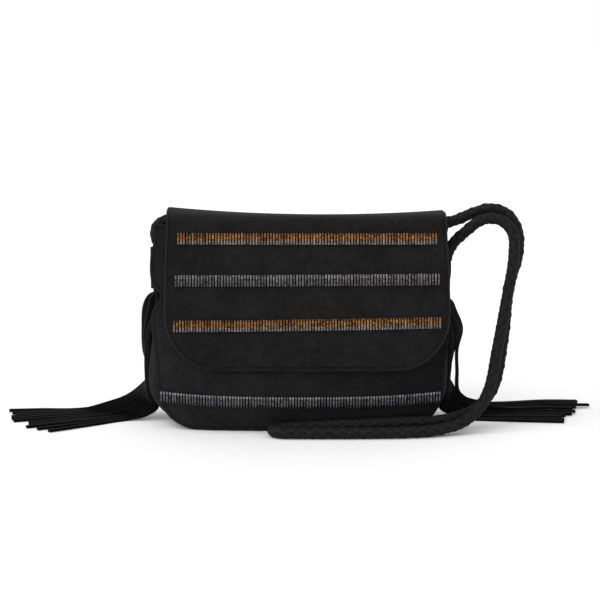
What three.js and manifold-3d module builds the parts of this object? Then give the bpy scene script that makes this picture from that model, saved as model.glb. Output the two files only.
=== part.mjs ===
// A small suede shoulder bag with a front flap, beaded stripes, a braided cord strap and lace fringes.
// Millimetres, +Z up, front towards -Y. The origin is the middle of the flat base.
import * as THREE from "three";
import { mergeVertices } from "three/addons/utils/BufferGeometryUtils.js";
import Module from "manifold-3d";

const wasm = await Module();
wasm.setup();

// Driving sizes.
const bodyWidth = 240;
const panelHeight = 168.5; // base to the front edge of the mouth
const backHeight = 167; // base to the top of the back panel at its ends
const baseDepth = 68;
const cornerRadius = 34; // lower corners of the panels
const panelWall = 1.8;
const gussetWall = 1.6;
const seamGap = 0.4; // kept between pieces that are sewn face to face
const edgeLap = 1.2; // how far a panel's cut edge stands past the gusset
const panelLift = 0.5; // lower edge of the panels above the base
const flapWidth = 234;
const flapTop = 178; // height of the fold over the mouth
const flapLowerEdge = 53;
const flapCorner = 45;
const flapWall = 2.2;
const flapShift = 5.5; // the flap hangs a little to the right
const tailShift = 4; // its sewn end does too, but less
const tailWidth = 210;
const mouthSag = 5; // the top dips between its ends
const tailLean = 2.6; // how much higher the flap's sewn end is on the left
const beadHeight = 9; // six rows of seed beads
const beadRelief = 1.9;
const strapDiameter = 10;
const keeperWall = 1.6;
const keeperHeight = { [-1]: 34, 1: 12.5 }; // left and right
const keeperFoot = 113.5; // height of the keepers' lower ends
const tongueHeight = 12;
const knotLength = 9; // bound head of a fringe
const laceWidth = 3.2;
const laceThickness = 2;
const fringeReach = 250; // middle of the bag to the furthest lace tip
const fringeDepth = 40; // how far the tips fan to the front or the back
const sideBelly = { [-1]: 1, 1: 0.55 }; // the right side bellies out less than the left
const fringeBulge = { [-1]: 1.75, 1: 1.25 }; // how far the laces spread under the left and right knots
const fringeStand = { [-1]: 0.72, 1: 1 }; // how far they stand off the gusset's side under that
const bellyStand = { [-1]: 0.0007, 1: 0.0034 }; // and how far lower down, where they pass the gusset's belly

const halfDepth = baseDepth / 2;
const halfWidth = bodyWidth / 2;

// Panels, from the base up. Height is a share of the panel's own height, width of half the body's width,
// reach and ease of half the base's depth: how far the middle stands out, and how far the sides turn back.
const frontForm = [
  { height: 0, width: 0.985, reach: 1, ease: 0.3 },
  { height: 0.07, width: 0.985, reach: 1.12, ease: 0.42 },
  { height: 0.16, width: 0.985, reach: 1.19, ease: 0.47 },
  { height: 0.3, width: 0.996, reach: 1.16, ease: 0.45 },
  { height: 0.45, width: 1.018, reach: 1.04, ease: 0.38 },
  { height: 0.57, width: 1.024, reach: 0.91, ease: 0.3 },
  { height: 0.655, width: 0.958, reach: 0.8, ease: 0.25 },
  { height: 0.72, width: 1.022, reach: 0.72, ease: 0.215 },
  { height: 0.85, width: 1.028, reach: 0.565, ease: 0.15 },
  { height: 0.93, width: 1.002, reach: 0.455, ease: 0.12 },
  { height: 1, width: 1.018, reach: 0.36, ease: 0.09 },
];
const backForm = [
  { height: 0, width: 0.985, reach: 1, ease: 0.3 },
  { height: 0.07, width: 0.985, reach: 1.08, ease: 0.4 },
  { height: 0.16, width: 0.985, reach: 1.13, ease: 0.42 },
  { height: 0.3, width: 0.998, reach: 1.12, ease: 0.4 },
  { height: 0.45, width: 1.014, reach: 1.06, ease: 0.34 },
  { height: 0.57, width: 1.028, reach: 0.99, ease: 0.28 },
  { height: 0.67, width: 1.036, reach: 0.93, ease: 0.22 },
  { height: 0.83, width: 1.034, reach: 0.83, ease: 0.16 },
  { height: 1, width: 1.02, reach: 0.74, ease: 0.1 },
];

// Gusset, by height as a share of the panel's. It folds in at the top and bellies out lower down.
// Fold, belly and dip are shares of the base's depth.
const gussetForm = [
  { height: 0, fold: 0, belly: 0, dip: 0 },
  { height: 0.03, fold: 0, belly: 0.03, dip: 0 },
  { height: 0.07, fold: 0, belly: 0.085, dip: 0 },
  { height: 0.15, fold: 0, belly: 0.14, dip: 0 },
  { height: 0.24, fold: 0, belly: 0.14, dip: 0 },
  { height: 0.38, fold: 0, belly: 0.08, dip: 0 },
  { height: 0.48, fold: 0, belly: 0.02, dip: 0 },
  { height: 0.57, fold: 0.08, belly: 0, dip: 0 },
  { height: 0.64, fold: 0.176, belly: 0, dip: 0 },
  { height: 0.73, fold: 0.21, belly: 0, dip: 0 },
  { height: 0.87, fold: 0.22, belly: 0, dip: 0.04 },
  { height: 1, fold: 0.24, belly: 0, dip: 0.16 },
];

// Flap, from its lower edge over the fold to its sewn end. Forward is a share of half the base's depth,
// height of the fold's, width of half the flap's, and sag of the mouth's sag.
const flapForm = [
  { forward: 1.27, height: 0.298, width: 1, ease: 0.1, sag: 0 },
  { forward: 1.23, height: 0.37, width: 1, ease: 0.1, sag: 0 },
  { forward: 1.13, height: 0.46, width: 1, ease: 0.1, sag: 0 },
  { forward: 1.0, height: 0.56, width: 1, ease: 0.09, sag: 0 },
  { forward: 0.84, height: 0.68, width: 0.998, ease: 0.08, sag: 0 },
  { forward: 0.66, height: 0.81, width: 0.992, ease: 0.07, sag: 0 },
  { forward: 0.5, height: 0.92, width: 0.984, ease: 0.05, sag: 0.05 },
  { forward: 0.42, height: 0.972, width: 0.983, ease: 0.04, sag: 0.15 },
  { forward: 0.22, height: 0.994, width: 0.983, ease: 0.02, sag: 0.3 },
  { forward: -0.24, height: 1, width: 0.983, ease: 0, sag: 0.7 },
  { forward: -0.6, height: 1, width: 0.972, ease: 0, sag: 1 },
  { forward: -0.81, height: 0.99, width: 0.945, ease: 0, sag: 1.03 },
  { forward: -0.88, height: 0.957, width: 0.915, ease: 0, sag: 1 },
  { forward: -0.82, height: 0.9, width: 0.9, ease: 0, sag: 0.3 },
  { forward: -0.8, height: 0.83, width: 0.897, ease: 0, sag: 0 },
];

// Beaded stripes. Height is a share of the panel's and length of the width of what the stripe is sewn to.
// Rise is how much higher its right end is than its left one, and bow how much higher both ends are than
// the middle, in shares of the stripe's own height.
const stripes = [
  { name: "bead_band_top", on: "flap", look: "copper", height: 0.938, length: 0.91, rise: 0, bow: 0 },
  { name: "bead_band_middle", on: "flap", look: "silver", height: 0.743, length: 0.927, rise: 0.14, bow: 0 },
  { name: "bead_band_lower", on: "flap", look: "copper", height: 0.534, length: 0.936, rise: 0.33, bow: 0 },
  { name: "bead_band_panel", on: "panel", look: "silver", height: 0.156, length: 0.963, rise: 0, bow: 0.17 },
];

// The strap's route: from one side of the bag over the mouth, out in a standing loop, along the ground
// and back. Out is a share of half the body's width, back of half the base's depth, and up, counted from
// where the cord lies on the ground, of the fold's height.
const strapRoute = [
  { out: -0.9808, back: 0.1176, up: 0.6573 },
  { out: -0.9808, back: 0.1176, up: 0.7640 },
  { out: -0.9808, back: 0.1176, up: 0.8174 },
  { out: -1.0033, back: 0.1412, up: 0.8652 },
  { out: -0.9708, back: 0.1765, up: 0.9135 },
  { out: -0.8667, back: 0.2059, up: 0.9303 },
  { out: -0.3333, back: 0.2353, up: 0.9011 },
  { out: 1.0125, back: 0.2500, up: 0.9146 },
  { out: 1.1900, back: 0.3353, up: 0.9551 },
  { out: 1.3083, back: 0.3235, up: 0.9775 },
  { out: 1.4250, back: 0.2353, up: 0.9562 },
  { out: 1.4967, back: 0.1059, up: 0.8826 },
  { out: 1.5000, back: -0.0294, up: 0.7742 },
  { out: 1.4367, back: -0.2118, up: 0.6264 },
  { out: 1.3983, back: -0.4471, up: 0.3921 },
  { out: 1.3250, back: -0.6441, up: 0.1573 },
  { out: 1.2142, back: -0.7647, up: 0.0736 },
  { out: 1.0167, back: -1.0059, up: 0.0315 },
  { out: 0.5833, back: -1.2706, up: 0.0236 },
  { out: -0.0417, back: -1.2618, up: 0.0034 },
  { out: -0.1458, back: -1.3000, up: 0.0000 },
  { out: -0.1917, back: -1.4706, up: 0.0000 },
  { out: -0.1458, back: -1.6471, up: 0.0000 },
  { out: -0.0417, back: -1.6765, up: 0.0000 },
  { out: 0.7333, back: -1.6059, up: 0.0000 },
  { out: 0.9583, back: -1.4353, up: 0.0056 },
  { out: 1.1167, back: -1.2529, up: 0.0320 },
  { out: 1.2208, back: -1.1235, up: 0.0899 },
  { out: 1.2933, back: -0.9706, up: 0.1742 },
  { out: 1.3475, back: -0.7941, up: 0.3494 },
  { out: 1.4058, back: -0.6000, up: 0.5562 },
  { out: 1.4608, back: -0.3765, up: 0.7708 },
  { out: 1.4550, back: -0.2206, up: 0.8792 },
  { out: 1.3758, back: -0.0471, up: 0.9337 },
  { out: 1.2558, back: 0.0353, up: 0.9343 },
  { out: 1.1292, back: 0.0941, up: 0.8697 },
  { out: 1.0500, back: 0.1147, up: 0.8146 },
  { out: 1.0167, back: 0.1176, up: 0.7640 },
  { out: 0.9817, back: 0.1176, up: 0.6798 },
  { out: 0.9808, back: 0.1176, up: 0.6348 },
];

// Laces of each fringe, from front to back. Lane is where a lace hangs across the gusset and stand how many
// thicknesses it stands off it; low is its lane lower down. Slack is how far out it comes down, turn and tip
// are shares of the fringe's depth, reach is of its reach, and pile is its layer on the ground.
const leftLaces = [
  { lane: 0.34, stand: 1.3, low: 0.6, slack: 0, turn: 0.03, tip: -0.92, reach: 0.83, pile: 0 },
  { lane: 0.4, stand: 3.2, low: 0.66, slack: 0.09, turn: 0.12, tip: -0.77, reach: 0.87, pile: 0 },
  { lane: 0.42, stand: 1.2, low: 0.7, slack: 0.18, turn: 0.2, tip: -0.61, reach: 0.91, pile: 0.1 },
  { lane: 0.47, stand: 4.4, low: 0.74, slack: 0.28, turn: 0.28, tip: -0.44, reach: 0.905, pile: 0 },
  { lane: 0.5, stand: 2.2, low: 0.78, slack: 0.38, turn: 0.36, tip: -0.28, reach: 0.91, pile: 0.2 },
  { lane: 0.54, stand: 1.7, low: 0.8, slack: 0.48, turn: 0.44, tip: -0.11, reach: 0.965, pile: 0.1 },
  { lane: 0.56, stand: 4.2, low: 0.84, slack: 0.58, turn: 0.52, tip: 0.05, reach: 0.975, pile: 0.2 },
  { lane: 0.6, stand: 2.4, low: 0.88, slack: 0.68, turn: 0.6, tip: 0.22, reach: 0.98, pile: 0.1 },
  { lane: 0.64, stand: 1.0, low: 0.92, slack: 0.78, turn: 0.68, tip: 0.38, reach: 0.97, pile: 0.2 },
  { lane: 0.68, stand: 3.0, low: 0.95, slack: 0.87, turn: 0.75, tip: 0.55, reach: 0.985, pile: 0.1 },
  { lane: 0.72, stand: 1.2, low: 0.98, slack: 0.95, turn: 0.82, tip: 0.74, reach: 1, pile: 0.2 },
];
const rightLaces = [
  { lane: 0.36, stand: 0.8, low: 0.62, slack: 0, turn: 0.05, tip: -0.17, reach: 0.885, pile: 0 },
  { lane: 0.42, stand: 3.4, low: 0.86, slack: 0.05, turn: 0.14, tip: 0, reach: 0.89, pile: 0 },
  { lane: 0.44, stand: 1.0, low: 0.84, slack: 0.1, turn: 0.22, tip: 0.15, reach: 0.885, pile: 0.3 },
  { lane: 0.49, stand: 4.4, low: 0.82, slack: 0.16, turn: 0.32, tip: 0.31, reach: 0.9, pile: 0.2 },
  { lane: 0.52, stand: 2.2, low: 0.87, slack: 0.2, turn: 0.43, tip: 0.46, reach: 0.925, pile: 0.4 },
  { lane: 0.56, stand: 1.0, low: 0.9, slack: 0.26, turn: 0.54, tip: 0.62, reach: 0.94, pile: 0.7 },
  { lane: 0.58, stand: 5.6, low: 0.6, slack: 0.8, turn: 0.65, tip: 0.78, reach: 0.935, pile: 1.2 },
  { lane: 0.63, stand: 2.4, low: 0.92, slack: 0.34, turn: 0.76, tip: 0.94, reach: 0.95, pile: 0.9 },
  { lane: 0.66, stand: 1.0, low: 0.94, slack: 0.41, turn: 0.88, tip: 1.1, reach: 1, pile: 1.2 },
  { lane: 0.7, stand: 3.0, low: 0.96, slack: 0.47, turn: 1, tip: 1.26, reach: 0.96, pile: 1.5 },
  { lane: 0.74, stand: 1.2, low: 0.98, slack: 0.54, turn: 1.12, tip: 1.41, reach: 0.965, pile: 1.4 },
];

// How a lace comes down to the ground, close to the bag and far out from it. Out is a share of the way from
// the body's side to the furthest tip, height of the fringe's depth, and turned is how much of the way to
// its turn the lace has come round.
const nearFall = [
  { out: 0.055, height: 0.52, turned: 0.3 },
  { out: 0.012, height: 0.3, turned: 0.55 },
  { out: 0.085, height: 0.13, turned: 0.85 },
  { out: 0.2, height: 0, turned: 1 },
];
const farFall = [
  { out: 0.125, height: 0.6 },
  { out: 0.231, height: 0.35 },
  { out: 0.365, height: 0.18 },
  { out: 0.558, height: 0 },
];
const fallTuck = { [-1]: 0, 1: 0.056 }; // how far a lace that comes down close to the bag is drawn in there

const colours = {
  suede: { color: 0x1d1d1e, roughness: 0.95 },
  braid: { color: 0x222223, roughness: 0.8 },
  copper: { color: 0x8a5a34, roughness: 0.3, metalness: 0.4 },
  silver: { color: 0x8d8a86, roughness: 0.3, metalness: 0.4 },
};
const bag = new THREE.Group();

function addPiece(name, geometry, look) {
  const mesh = new THREE.Mesh(geometry, new THREE.MeshStandardMaterial(colours[look]));
  mesh.name = name;
  bag.add(mesh);
}

// A column of a table at a height, on a smooth curve through its rows.
function along(table, column, at, key = "height") {
  const last = table.length - 2;
  const found = table.findIndex((row, i) => i > 0 && row[key] >= at) - 1;
  const i = found < 0 ? last : Math.min(found, last);
  const slope = (k) => {
    const low = table[Math.max(k - 1, 0)];
    const high = table[Math.min(k + 1, table.length - 1)];
    return (high[column] - low[column]) / (high[key] - low[key]);
  };
  const span = table[i + 1][key] - table[i][key];
  const t = THREE.MathUtils.clamp((at - table[i][key]) / span, 0, 1);
  const [from, to] = [table[i][column], table[i + 1][column]];
  const ease = t * t * (3 - 2 * t);
  const bend = slope(i) * t * (1 - t) ** 2 - slope(i + 1) * t * t * (1 - t);
  return from + (to - from) * ease + bend * span;
}

// A closed wall between two grids of points, rows by columns.
function wallBetween(outer, inner) {
  const rows = outer.length;
  const columns = outer[0].length;
  const points = [...outer.flat(), ...inner.flat()].flatMap((p) => p.toArray());
  const outside = (r, c) => r * columns + c;
  const inside = (r, c) => rows * columns + r * columns + c;
  const index = [];
  const quad = (a, b, c, d) => index.push(a, b, c, a, c, d);
  for (let r = 0; r < rows - 1; r += 1) {
    for (let c = 0; c < columns - 1; c += 1) {
      quad(outside(r, c), outside(r, c + 1), outside(r + 1, c + 1), outside(r + 1, c));
      quad(inside(r, c), inside(r + 1, c), inside(r + 1, c + 1), inside(r, c + 1));
    }
    quad(outside(r, 0), outside(r + 1, 0), inside(r + 1, 0), inside(r, 0));
    const last = columns - 1;
    quad(outside(r + 1, last), outside(r, last), inside(r, last), inside(r + 1, last));
  }
  for (let c = 0; c < columns - 1; c += 1) {
    quad(outside(0, c + 1), outside(0, c), inside(0, c), inside(0, c + 1));
    quad(outside(rows - 1, c), outside(rows - 1, c + 1), inside(rows - 1, c + 1), inside(rows - 1, c));
  }
  const geometry = new THREE.BufferGeometry();
  geometry.setAttribute("position", new THREE.Float32BufferAttribute(points, 3));
  geometry.setIndex(index);
  return geometry;
}

// Unit normals of a grid, on the side from which its columns run right and its rows run up.
function gridNormals(grid) {
  return grid.map((row, r) =>
    row.map((_, c) => {
      const ahead = row[Math.min(c + 1, row.length - 1)];
      const right = ahead.clone().sub(row[Math.max(c - 1, 0)]);
      const above = grid[Math.min(r + 1, grid.length - 1)][c];
      const up = above.clone().sub(grid[Math.max(r - 1, 0)][c]);
      return right.cross(up).normalize();
    }),
  );
}

const moved = (grid, normals, distance) =>
  grid.map((row, r) => row.map((p, c) => p.clone().addScaledVector(normals[r][c], distance)));

// A sheet of even thickness behind a grid of outer points.
function sheet(grid, thickness) {
  return wallBetween(grid, moved(grid, gridNormals(grid), -thickness));
}

const steps = (count, from = 0, to = 1) =>
  Array.from({ length: count + 1 }, (_, i) => from + ((to - from) * i) / count);

// Heights of a panel's rows: round its lower corner by angle, then up its side.
const cornerAngles = steps(6, 0, Math.PI / 2);
const panelRows = (height) => [
  ...cornerAngles.map((angle) => cornerRadius * (1 - Math.cos(angle))),
  ...steps(11, cornerRadius, height).slice(1),
];

// Half the width of a panel at a height above its lower edge.
function panelHalfWidth(form, height, z) {
  const side = halfWidth * along(form, "width", Math.max(z, cornerRadius) / height);
  const drop = Math.max(cornerRadius - z, 0);
  return side - cornerRadius + Math.sqrt(cornerRadius ** 2 - drop ** 2);
}

// How far a panel's outer face stands from the bag's middle plane.
function panelReach(form, height, x, z) {
  const share = THREE.MathUtils.clamp(z / height, 0, 1);
  const turned = Math.abs(x / halfWidth) ** 3;
  return halfDepth * (along(form, "reach", share) - along(form, "ease", share) * turned);
}

const sagAt = (x, span) => mouthSag * (1 - Math.min(1, (2 * x) / span) ** 2);

function panelGrid(form, height, facing, sags) {
  return panelRows(height).map((z) => {
    const half = panelHalfWidth(form, height, z);
    return steps(12, -1, 1).map((share) => {
      const x = -facing * half * share;
      const lower = sags ? sagAt(Math.abs(x), tailWidth) * (z / height) ** 6 : 0;
      const y = facing * panelReach(form, height, x, z);
      return new THREE.Vector3(x, y, z + panelLift - lower);
    });
  });
}

function makePanels() {
  addPiece("front_panel", sheet(panelGrid(frontForm, panelHeight, -1, false), panelWall), "suede");
  addPiece("back_panel", sheet(panelGrid(backForm, backHeight, 1, true), panelWall), "suede");
}

// Where the gusset's edge meets a panel, round the panel's outline. Angle runs from the base up the corner.
function seamPoint(form, height, facing, side, z, angle) {
  const out = new THREE.Vector3(side * Math.sin(angle), 0, -Math.cos(angle));
  const x = side * panelHalfWidth(form, height, z);
  const inside = facing * (panelReach(form, height, x, z) - panelWall * 1.12 - 1.6 * seamGap);
  return { at: new THREE.Vector3(x, inside, z + panelLift).addScaledVector(out, -edgeLap), out };
}

// A point of the gusset's outer face. Across runs from the front seam to the back one.
const flatMiddle = (across) => Math.min(1, 5 * Math.min(across, 1 - across));
function gussetPoint(front, back, share, across, side) {
  const point = front.at.clone().lerp(back.at, across);
  const out = front.out.clone().add(back.out).normalize();
  const crown = Math.sin(Math.PI * across);
  const valley = (1 - Math.cos(2 * Math.PI * across)) / 2;
  const base = (panelLift + edgeLap) * flatMiddle(across) * Math.max(-out.z, 0) ** 4;
  const belly = along(gussetForm, "belly", share) * crown * sideBelly[side];
  const fold = along(gussetForm, "fold", share) * valley;
  point.addScaledVector(out, baseDepth * (belly - fold) + base);
  point.z -= baseDepth * along(gussetForm, "dip", share) * crown;
  return point;
}

// The gusset at a row of the panels on one side.
function gussetSide(row, side, across) {
  const angle = row < cornerAngles.length ? cornerAngles[row] : Math.PI / 2;
  const z = panelRows(panelHeight)[row];
  const front = seamPoint(frontForm, panelHeight, -1, side, z, angle);
  const back = seamPoint(backForm, backHeight, 1, side, panelRows(backHeight)[row], angle);
  return gussetPoint(front, back, z / panelHeight, across, side);
}

const gussetAcross = [0, 0.1, 0.2, 0.32, 0.44, 0.5, 0.56, 0.68, 0.8, 0.9, 1];
function makeGusset() {
  const rows = panelRows(panelHeight).length;
  const down = steps(rows - 1, rows - 1, 0).map((row) => gussetAcross.map((t) => gussetSide(row, -1, t)));
  const base = steps(4).slice(1, -1).map((share) =>
    gussetAcross.map((t) => gussetSide(0, -1, t).lerp(gussetSide(0, 1, t), share)),
  );
  const up = steps(rows - 1, 0, rows - 1).map((row) => gussetAcross.map((t) => gussetSide(row, 1, t)));
  addPiece("gusset", sheet([...down, ...base, ...up], gussetWall), "suede");
}

// How far the flap's outer face stands off the panel under it, at the least.
const flapSeat = seamGap + 1.12 * flapWall;

// The flap's rows: round its lower corners by angle, then up the front, over the fold and down the back.
const flapRise = (height) => (height * flapTop - flapLowerEdge) / flapCorner;
function flapRows() {
  const turning = cornerAngles.map((angle) => {
    const z = flapLowerEdge + flapCorner * (1 - Math.cos(angle));
    const height = z / flapTop;
    const hanging = flapForm.slice(0, 7);
    const columns = ["forward", "width", "ease", "sag"].map((name) => [name, along(hanging, name, height)]);
    return { ...Object.fromEntries(columns), height, inset: flapCorner * (1 - Math.sin(angle)) };
  });
  const rest = flapForm.filter((row) => row.forward < 1 && flapRise(row.height) > 1.1);
  return [...turning, ...rest.map((row) => ({ ...row, inset: 0 }))];
}

function flapPoint(row, share) {
  const half = (flapWidth / 2) * row.width - row.inset;
  const x = half * share;
  const turned = Math.abs(x / halfWidth) ** 3;
  const shift = THREE.MathUtils.mapLinear(row.forward, 1, -0.6, flapShift, tailShift);
  const lean = (tailLean / 2) * share * Math.min(row.sag, 1);
  const z = row.height * flapTop - row.sag * sagAt(Math.abs(x), flapWidth) - lean;
  const placed = x + THREE.MathUtils.clamp(shift, tailShift, flapShift);
  const reach = halfDepth * (Math.abs(row.forward) - row.ease * turned);
  const [panel, height, facing] = row.forward > 0 ? [frontForm, panelHeight, -1] : [backForm, backHeight, 1];
  const faced = row.forward > 0 ? 0 : placed;
  const hangs = row.height * flapTop < height;
  const seat = hangs ? panelReach(panel, height, faced, z - panelLift) + flapSeat : 0;
  return new THREE.Vector3(placed, facing * Math.max(reach, seat - halfDepth * row.ease * turned), z);
}

function makeFlap() {
  const grid = flapRows().map((row) => steps(14, -1, 1).map((share) => flapPoint(row, share)));
  addPiece("flap", sheet(grid, flapWall), "suede");
}

// A point of the outer face that a stripe is sewn to.
function facePoint(stripe, x, z) {
  if (stripe.on === "panel") {
    const height = z - panelLift;
    return new THREE.Vector3(x, -panelReach(frontForm, panelHeight, x, height), z);
  }
  const height = z / flapTop;
  const front = flapForm.slice(0, 7);
  const turned = Math.abs(x / halfWidth) ** 3;
  const seat = panelReach(frontForm, panelHeight, 0, z - panelLift) + flapSeat;
  const reach = Math.max(halfDepth * along(front, "forward", height), seat);
  return new THREE.Vector3(x + flapShift, halfDepth * along(front, "ease", height) * turned - reach, z);
}

const stripeRise = (stripe, share) => beadHeight * (stripe.rise * share + stripe.bow * 4 * share ** 2);
function makeStripes() {
  for (const stripe of stripes) {
    const length = stripe.length * (stripe.on === "panel" ? bodyWidth : flapWidth);
    const middle = stripe.height * panelHeight;
    const grid = steps(2, -beadHeight / 2, beadHeight / 2).map((up) =>
      steps(12, -0.5, 0.5).map((share) =>
        facePoint(stripe, length * share, middle + up + stripeRise(stripe, share)),
      ),
    );
    const normals = gridNormals(grid);
    const [under, over] = [moved(grid, normals, seamGap), moved(grid, normals, seamGap + beadRelief)];
    addPiece(stripe.name, wallBetween(over, under), stripe.look);
  }
}

function circle(radius, sides) {
  const shape = new THREE.Shape();
  steps(sides - 1, 0, (2 * Math.PI * (sides - 1)) / sides).forEach((angle, i) => {
    const point = [radius * Math.cos(angle), radius * Math.sin(angle)];
    shape[i ? "lineTo" : "moveTo"](...point);
  });
  return shape;
}

// A round cord along a curve, with a ring of points at each even step of the curve's own parameter.
function cord(curve, count, radius, sides) {
  let across = new THREE.Vector3(1, 0, 0);
  const rings = curve.getPoints(count).map((at, i) => {
    const ahead = curve.getTangent(i / count);
    across = across.clone().projectOnPlane(ahead).normalize();
    const up = ahead.clone().cross(across);
    return steps(sides - 1, 0, (2 * Math.PI * (sides - 1)) / sides).map((angle) => {
      const outward = across.clone().multiplyScalar(Math.cos(angle)).addScaledVector(up, Math.sin(angle));
      return at.clone().addScaledVector(outward, radius);
    });
  });
  const index = [];
  for (let r = 0; r < count; r += 1) {
    for (let c = 0; c < sides; c += 1) {
      const [a, b] = [r * sides + c, r * sides + ((c + 1) % sides)];
      index.push(a, b, b + sides, a, b + sides, a + sides);
    }
  }
  for (let c = 1; c < sides - 1; c += 1) {
    index.push(0, c + 1, c, count * sides, count * sides + c, count * sides + c + 1);
  }
  const geometry = new THREE.BufferGeometry();
  const points = rings.flat().flatMap((p) => p.toArray());
  geometry.setAttribute("position", new THREE.Float32BufferAttribute(points, 3));
  geometry.setIndex(index);
  return geometry;
}

function makeStrap() {
  const route = new THREE.CatmullRomCurve3(strapRoute.map(strapPoint));
  addPiece("strap", cord(route, 72, strapDiameter / 2, 8), "braid");
}

function solidOf(geometry) {
  const bare = geometry.clone();
  bare.deleteAttribute("normal");
  bare.deleteAttribute("uv");
  const merged = mergeVertices(bare, 1e-4);
  const vertProperties = merged.attributes.position.array;
  const triVerts = new Uint32Array(merged.index.array);
  return new wasm.Manifold(new wasm.Mesh({ numProp: 3, vertProperties, triVerts }));
}

function geometryOf(solid) {
  const mesh = solid.getMesh();
  const geometry = new THREE.BufferGeometry();
  geometry.setAttribute("position", new THREE.BufferAttribute(mesh.vertProperties, 3));
  geometry.setIndex(new THREE.BufferAttribute(mesh.triVerts, 1));
  return geometry;
}

const strapPoint = (row) =>
  new THREE.Vector3(halfWidth * row.out, halfDepth * row.back, strapDiameter / 2 + flapTop * row.up);
const strapEnd = (side) => strapPoint(side < 0 ? strapRoute[0] : strapRoute.at(-1));

// A leather keeper round the strap's end and the fringe's head, with a tongue sewn into the gusset's fold.
function makeKeeper(side, name) {
  const end = strapEnd(side);
  const bore = strapDiameter / 2 + seamGap;
  const ringShape = circle(bore + keeperWall, 14);
  ringShape.holes.push(circle(bore, 14));
  const ring = new THREE.ExtrudeGeometry(ringShape, { depth: keeperHeight[side], bevelEnabled: false });
  ring.translate(end.x, end.y, keeperFoot);
  const fold = Math.abs(gussetFace(side, keeperFoot - 2, 0.58).x);
  const start = Math.abs(end.x) - bore - keeperWall / 2;
  const length = start - fold - 2.5 * seamGap;
  const tongue = new THREE.BoxGeometry(length, 2 * keeperWall, tongueHeight);
  tongue.translate(side * (start - length / 2), end.y, keeperFoot + tongueHeight / 2);
  addPiece(name, geometryOf(solidOf(ring).add(solidOf(tongue))), "suede");
}

// The gusset's outer face at any height on one side.
function gussetFace(side, z, across) {
  const rows = panelRows(panelHeight);
  const row = rows.findIndex((level) => level >= z);
  const share = (z - rows[row - 1]) / (rows[row] - rows[row - 1]);
  return gussetSide(row - 1, side, across).lerp(gussetSide(row, side, across), share);
}

// The line of one lace: out of the knot, down over the gusset's belly, and away along the ground.
function laceLine(side, lace, head) {
  const beside = (height, lane, off) => {
    const point = gussetFace(side, height * panelHeight, lane);
    return point.setX(point.x + side * laceThickness * (0.5 + off) + side * seamGap);
  };
  const lie = laceThickness * (0.6 + 1.1 * lace.pile);
  const start = new THREE.Vector3(head.x, head.y + (lace.lane - 0.54) * 9, head.z - knotLength * 0.5);
  const flare = beside((head.z - 2.6 * knotLength) / panelHeight, lace.lane, 0.45);
  const bulge = Math.abs(head.x) + (lace.stand - 1) * laceThickness * fringeBulge[side];
  flare.x = side * Math.max(Math.abs(flare.x), bulge);
  flare.y = THREE.MathUtils.lerp(start.y, flare.y, 0.6);
  const belly = beside(0.25, lace.low, 0.4 + bellyStand[side] * lace.stand ** 4);
  const droop = THREE.MathUtils.lerp(0.6 * laceThickness, lie, 0.5);
  const tip = new THREE.Vector3(side * fringeReach * lace.reach, fringeDepth * lace.tip, droop);
  const turnY = fringeDepth * lace.turn;
  const fall = nearFall.map((near, i) => {
    const close = near.out - fallTuck[side] * (1 - near.turned);
    const away = THREE.MathUtils.lerp(close, farFall[i].out, lace.slack);
    const out = THREE.MathUtils.lerp(halfWidth, fringeReach, away);
    const height = fringeDepth * THREE.MathUtils.lerp(near.height, farFall[i].height, lace.slack);
    const y = THREE.MathUtils.lerp(belly.y, turnY, near.turned);
    return new THREE.Vector3(side * out, y, Math.max(height, lie));
  });
  const ground = fall.at(-1);
  return new THREE.CatmullRomCurve3([
    start,
    start.clone().setZ(head.z - 1.1 * knotLength),
    start.clone().lerp(flare, 0.68).setZ(head.z - 1.7 * knotLength),
    flare,
    beside(0.47, lace.lane, fringeStand[side] * lace.stand),
    beside(0.36, (lace.lane + lace.low) / 2, 0.65 + 0.017 * lace.stand ** 3),
    belly,
    ...fall,
    ground.clone().lerp(tip, 0.55).setZ(lie),
    tip,
  ]);
}

// The two edges of a flat lace along a line. Its width keeps as near to the Y axis as the line lets it.
function laceEdges(line, side) {
  return steps(line.points.length - 1).map((u) => {
    const at = line.getPoint(u);
    const ahead = line.getTangent(u);
    const wide = new THREE.Vector3(0, -side, 0).projectOnPlane(ahead).setLength(laceWidth / 2);
    const thick = wide.clone().cross(ahead).setLength(laceThickness / 2);
    return [-1, 1].map((edge) => at.clone().add(thick).addScaledVector(wide, edge));
  });
}

function makeFringe(side, name, laces) {
  const end = strapEnd(side);
  const head = end.clone();
  head.z -= seamGap;
  const knot = new THREE.ExtrudeGeometry(circle(strapDiameter / 2 - 0.2, 12), {
    depth: knotLength,
    bevelEnabled: false,
  });
  knot.translate(head.x, head.y, head.z - knotLength);
  let fringe = solidOf(knot);
  for (const lace of laces) {
    const edges = laceEdges(laceLine(side, lace, head), side);
    fringe = fringe.add(solidOf(sheet(edges, laceThickness)));
  }
  // A gap that the laces close off between them is left solid.
  const closed = fringe.decompose().filter((body) => body.volume() > 0);
  addPiece(name, geometryOf(wasm.Manifold.compose(closed)), "suede");
}

makePanels();
makeGusset();
makeFlap();
makeStripes();
makeStrap();
makeKeeper(-1, "strap_keeper_left");
makeKeeper(1, "strap_keeper_right");
makeFringe(-1, "fringe_left", leftLaces);
makeFringe(1, "fringe_right", rightLaces);

export default bag;
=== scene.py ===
import random
from bisect import bisect_left
from math import acos, asin, atan2, copysign, cos, hypot, pi, radians, sin, sqrt

import bpy
from mathutils import Matrix, Vector, noise


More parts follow.
